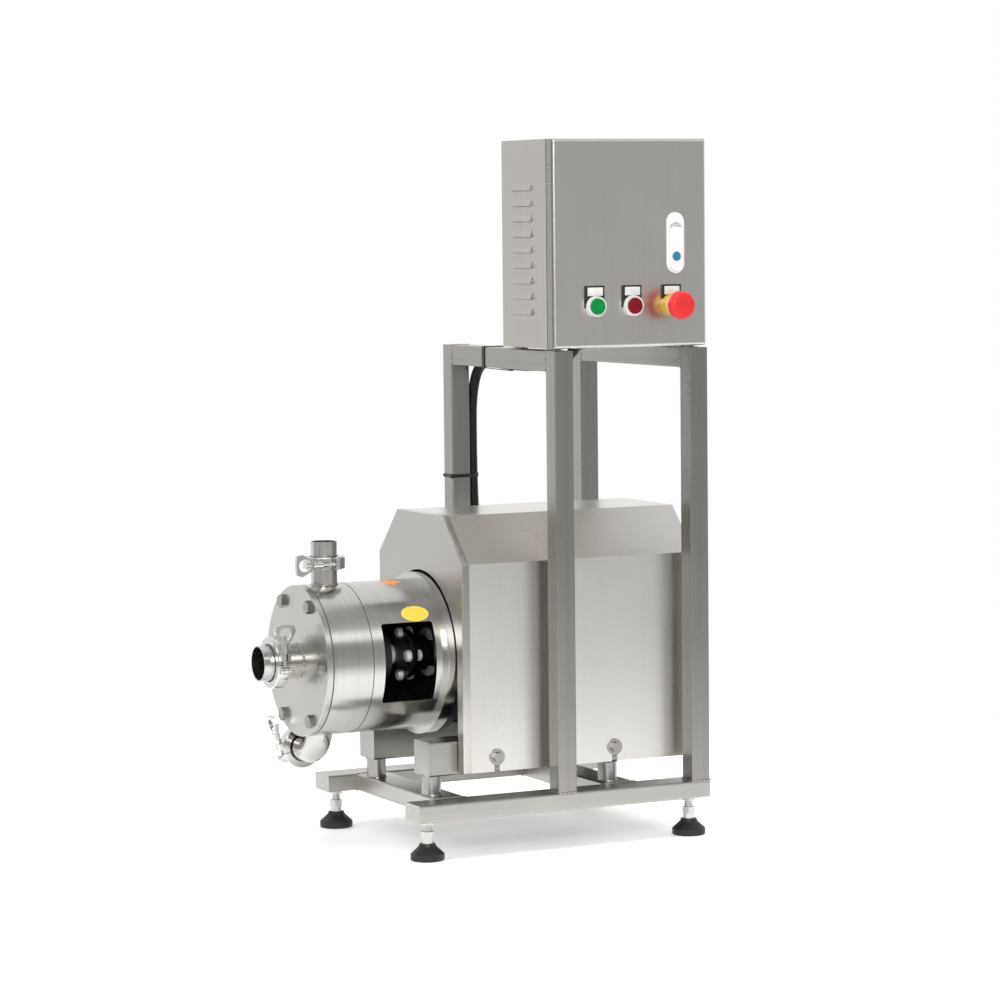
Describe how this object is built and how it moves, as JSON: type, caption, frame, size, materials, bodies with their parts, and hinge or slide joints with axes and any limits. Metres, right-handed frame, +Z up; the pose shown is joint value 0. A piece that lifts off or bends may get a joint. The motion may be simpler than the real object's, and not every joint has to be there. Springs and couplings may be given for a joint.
{
  "type": "emulsifying pump",
  "caption": "In-line rotor-stator emulsifying pump with a covered motor on a welded tube frame, clamped pipe ports, levelling feet and a control box on posts.",
  "frame": {"origin": "on the floor, midway between the four feet", "axes": "+X along the pump axis from the inlet to the motor fan, +Z up, the control box door faces -Y"},
  "size_m": [0.6425, 0.4193, 1.0235],
  "materials": {
    "steel_tube": "brushed",
    "steel_sheet": "fine brushed",
    "turned_steel": "turned",
    "polished_steel": "polished",
    "plated_steel": "plated",
    "black_rubber": "matt",
    "seal_rubber": "matt",
    "black_steel": "oiled black",
    "bright_bearing": "ground",
    "motor_paint": "dark green paint",
    "shaft_steel": "ground",
    "fan_plastic": "matt",
    "black_plastic": "matt",
    "grey_plastic": "matt",
    "green_plastic": "gloss",
    "red_plastic": "gloss",
    "bright_red_plastic": "gloss",
    "white_plastic": "gloss",
    "galvanised": "zinc plated",
    "latch_chrome": "satin chrome"
  },
  "bodies": {
    "frame": {"base_frame": "steel_tube", "foot_nuts": "plated_steel", "upper_frame": "steel_tube", "motor_rails": "steel_tube", "front_plate": "turned_steel", "gaskets": "seal_rubber", "casing": "turned_steel", "inlet_ferrule": "turned_steel", "outlet_ferrule": "turned_steel", "drain_cap": "turned_steel", "stator": "turned_steel", "shaft_seal": "black_steel", "shaft_bearings": "bright_bearing", "lantern": "turned_steel", "motor_flange": "motor_paint", "motor_housing": "motor_paint", "fan_cowl": "motor_paint", "motor_terminal_box": "motor_paint", "hex_bolts": "plated_steel", "cover_bolts": "plated_steel", "inlet_clamp_fixed": "polished_steel", "outlet_clamp_fixed": "polished_steel", "drain_clamp_fixed": "polished_steel", "enclosure": "steel_sheet", "mounting_plate": "galvanised", "motor_starter": "grey_plastic", "conduit": "black_plastic", "conduit_fittings": "black_plastic"},
    "drive": {"rotor": "turned_steel", "pump_shaft": "shaft_steel", "hub_pump": "black_steel", "hub_motor": "black_steel", "coupling_pins": "black_steel", "motor_shaft": "shaft_steel", "motor_fan": "fan_plastic"},
    "cover": {"motor_cover": "steel_sheet"},
    "door": {"enclosure_door": "steel_sheet", "latch_plate": "latch_chrome", "button_bodies": "white_plastic"},
    "latch_lever": {"latch_handle": "latch_chrome"},
    "start_cap": {"start_button": "green_plastic"},
    "stop_cap": {"stop_button": "red_plastic"},
    "estop_head": {"estop_button": "bright_red_plastic"},
    "foot_1": {"foot_pad_1": "black_rubber", "foot_stud_1": "plated_steel"},
    "foot_2": {"foot_pad_2": "black_rubber", "foot_stud_2": "plated_steel"},
    "foot_3": {"foot_pad_3": "black_rubber", "foot_stud_3": "plated_steel"},
    "foot_4": {"foot_pad_4": "black_rubber", "foot_stud_4": "plated_steel"},
    "inlet_bolt": {"inlet_clamp_bolt": "polished_steel"},
    "inlet_nut": {"inlet_clamp_nut": "polished_steel"},
    "inlet_half": {"inlet_clamp_hinged": "polished_steel"},
    "outlet_bolt": {"outlet_clamp_bolt": "polished_steel"},
    "outlet_nut": {"outlet_clamp_nut": "polished_steel"},
    "outlet_half": {"outlet_clamp_hinged": "polished_steel"},
    "drain_bolt": {"drain_clamp_bolt": "polished_steel"},
    "drain_nut": {"drain_clamp_nut": "polished_steel"},
    "drain_half": {"drain_clamp_hinged": "polished_steel"}
  },
  "joints": [
    {"name": "drive_spin", "type": "hinge", "parent": "frame", "child": "drive", "pos_m": [-0.2, 0, 0.2767], "axis": [1, 0, 0], "continuous": true},
    {"name": "cover_lift", "type": "slide", "parent": "frame", "child": "cover", "axis": [0, 0, 1], "range_m": [0, 0.2]},
    {"name": "door_swing", "type": "hinge", "parent": "frame", "child": "door", "pos_m": [-0.0138, -0.1784, 0.8735], "axis": [0, 0, -1], "range_deg": [0, 110]},
    {"name": "latch_swing", "type": "hinge", "parent": "door", "child": "latch_lever", "pos_m": [0.182, -0.1872, 0.8935], "axis": [-1, 0, 0], "range_deg": [0, 35]},
    {"name": "start_press", "type": "slide", "parent": "door", "child": "start_cap", "axis": [0, 1, 0], "range_m": [0, 0.0035], "stiffness_N_per_m": 1200, "springref_m": -0.003},
    {"name": "stop_press", "type": "slide", "parent": "door", "child": "stop_cap", "axis": [0, 1, 0], "range_m": [0, 0.0035], "stiffness_N_per_m": 1200, "springref_m": -0.003},
    {"name": "estop_press", "type": "slide", "parent": "door", "child": "estop_head", "axis": [0, 1, 0], "range_m": [0, 0.005]},
    {"name": "foot_1_height", "type": "slide", "parent": "frame", "child": "foot_1", "axis": [0, 0, 1], "range_m": [-0.014, 0.009]},
    {"name": "foot_2_height", "type": "slide", "parent": "frame", "child": "foot_2", "axis": [0, 0, 1], "range_m": [-0.014, 0.009]},
    {"name": "foot_3_height", "type": "slide", "parent": "frame", "child": "foot_3", "axis": [0, 0, 1], "range_m": [-0.014, 0.009]},
    {"name": "foot_4_height", "type": "slide", "parent": "frame", "child": "foot_4", "axis": [0, 0, 1], "range_m": [-0.014, 0.009]},
    {"name": "inlet_bolt_swing", "type": "hinge", "parent": "frame", "child": "inlet_bolt", "pos_m": [-0.3785, -0.0395, 0.2692], "axis": [1, 0, 0], "range_deg": [0, 95]},
    {"name": "inlet_nut_travel", "type": "slide", "parent": "inlet_bolt", "child": "inlet_nut", "axis": [0, 0, 1], "range_m": [0, 0.008]},
    {"name": "inlet_half_open", "type": "hinge", "parent": "frame", "child": "inlet_half", "pos_m": [-0.3785, 0.043, 0.2767], "axis": [-1, 0, 0], "range_deg": [0, 5.5]},
    {"name": "outlet_bolt_swing", "type": "hinge", "parent": "frame", "child": "outlet_bolt", "pos_m": [-0.291, -0.03275, 0.4175], "axis": [0, 0, 1], "range_deg": [0, 95]},
    {"name": "outlet_nut_travel", "type": "slide", "parent": "outlet_bolt", "child": "outlet_nut", "axis": [-1, 0, 0], "range_m": [0, 0.008]},
    {"name": "outlet_half_open", "type": "hinge", "parent": "frame", "child": "outlet_half", "pos_m": [-0.2985, 0.03625, 0.4175], "axis": [0, 0, -1], "range_deg": [0, 5.5]},
    {"name": "drain_bolt_swing", "type": "hinge", "parent": "frame", "child": "drain_bolt", "pos_m": [-0.33919, 0.069, 0.12478], "axis": [0, -1, 0], "range_deg": [0, 95]},
    {"name": "drain_nut_travel", "type": "slide", "parent": "drain_bolt", "child": "drain_nut", "axis": [-0.2588, 0, 0.9659], "range_m": [0, 0.008]},
    {"name": "drain_half_open", "type": "hinge", "parent": "frame", "child": "drain_half", "pos_m": [-0.27448, 0.069, 0.14988], "axis": [0, 1, 0], "range_deg": [0, 5.5]}
  ],
  "couplings": [
    {"joint": "inlet_half_open", "follows": "inlet_nut_travel", "rad_per_m": 10.908},
    {"joint": "outlet_half_open", "follows": "outlet_nut_travel", "rad_per_m": 10.908},
    {"joint": "drain_half_open", "follows": "drain_nut_travel", "rad_per_m": 10.908}
  ]
}
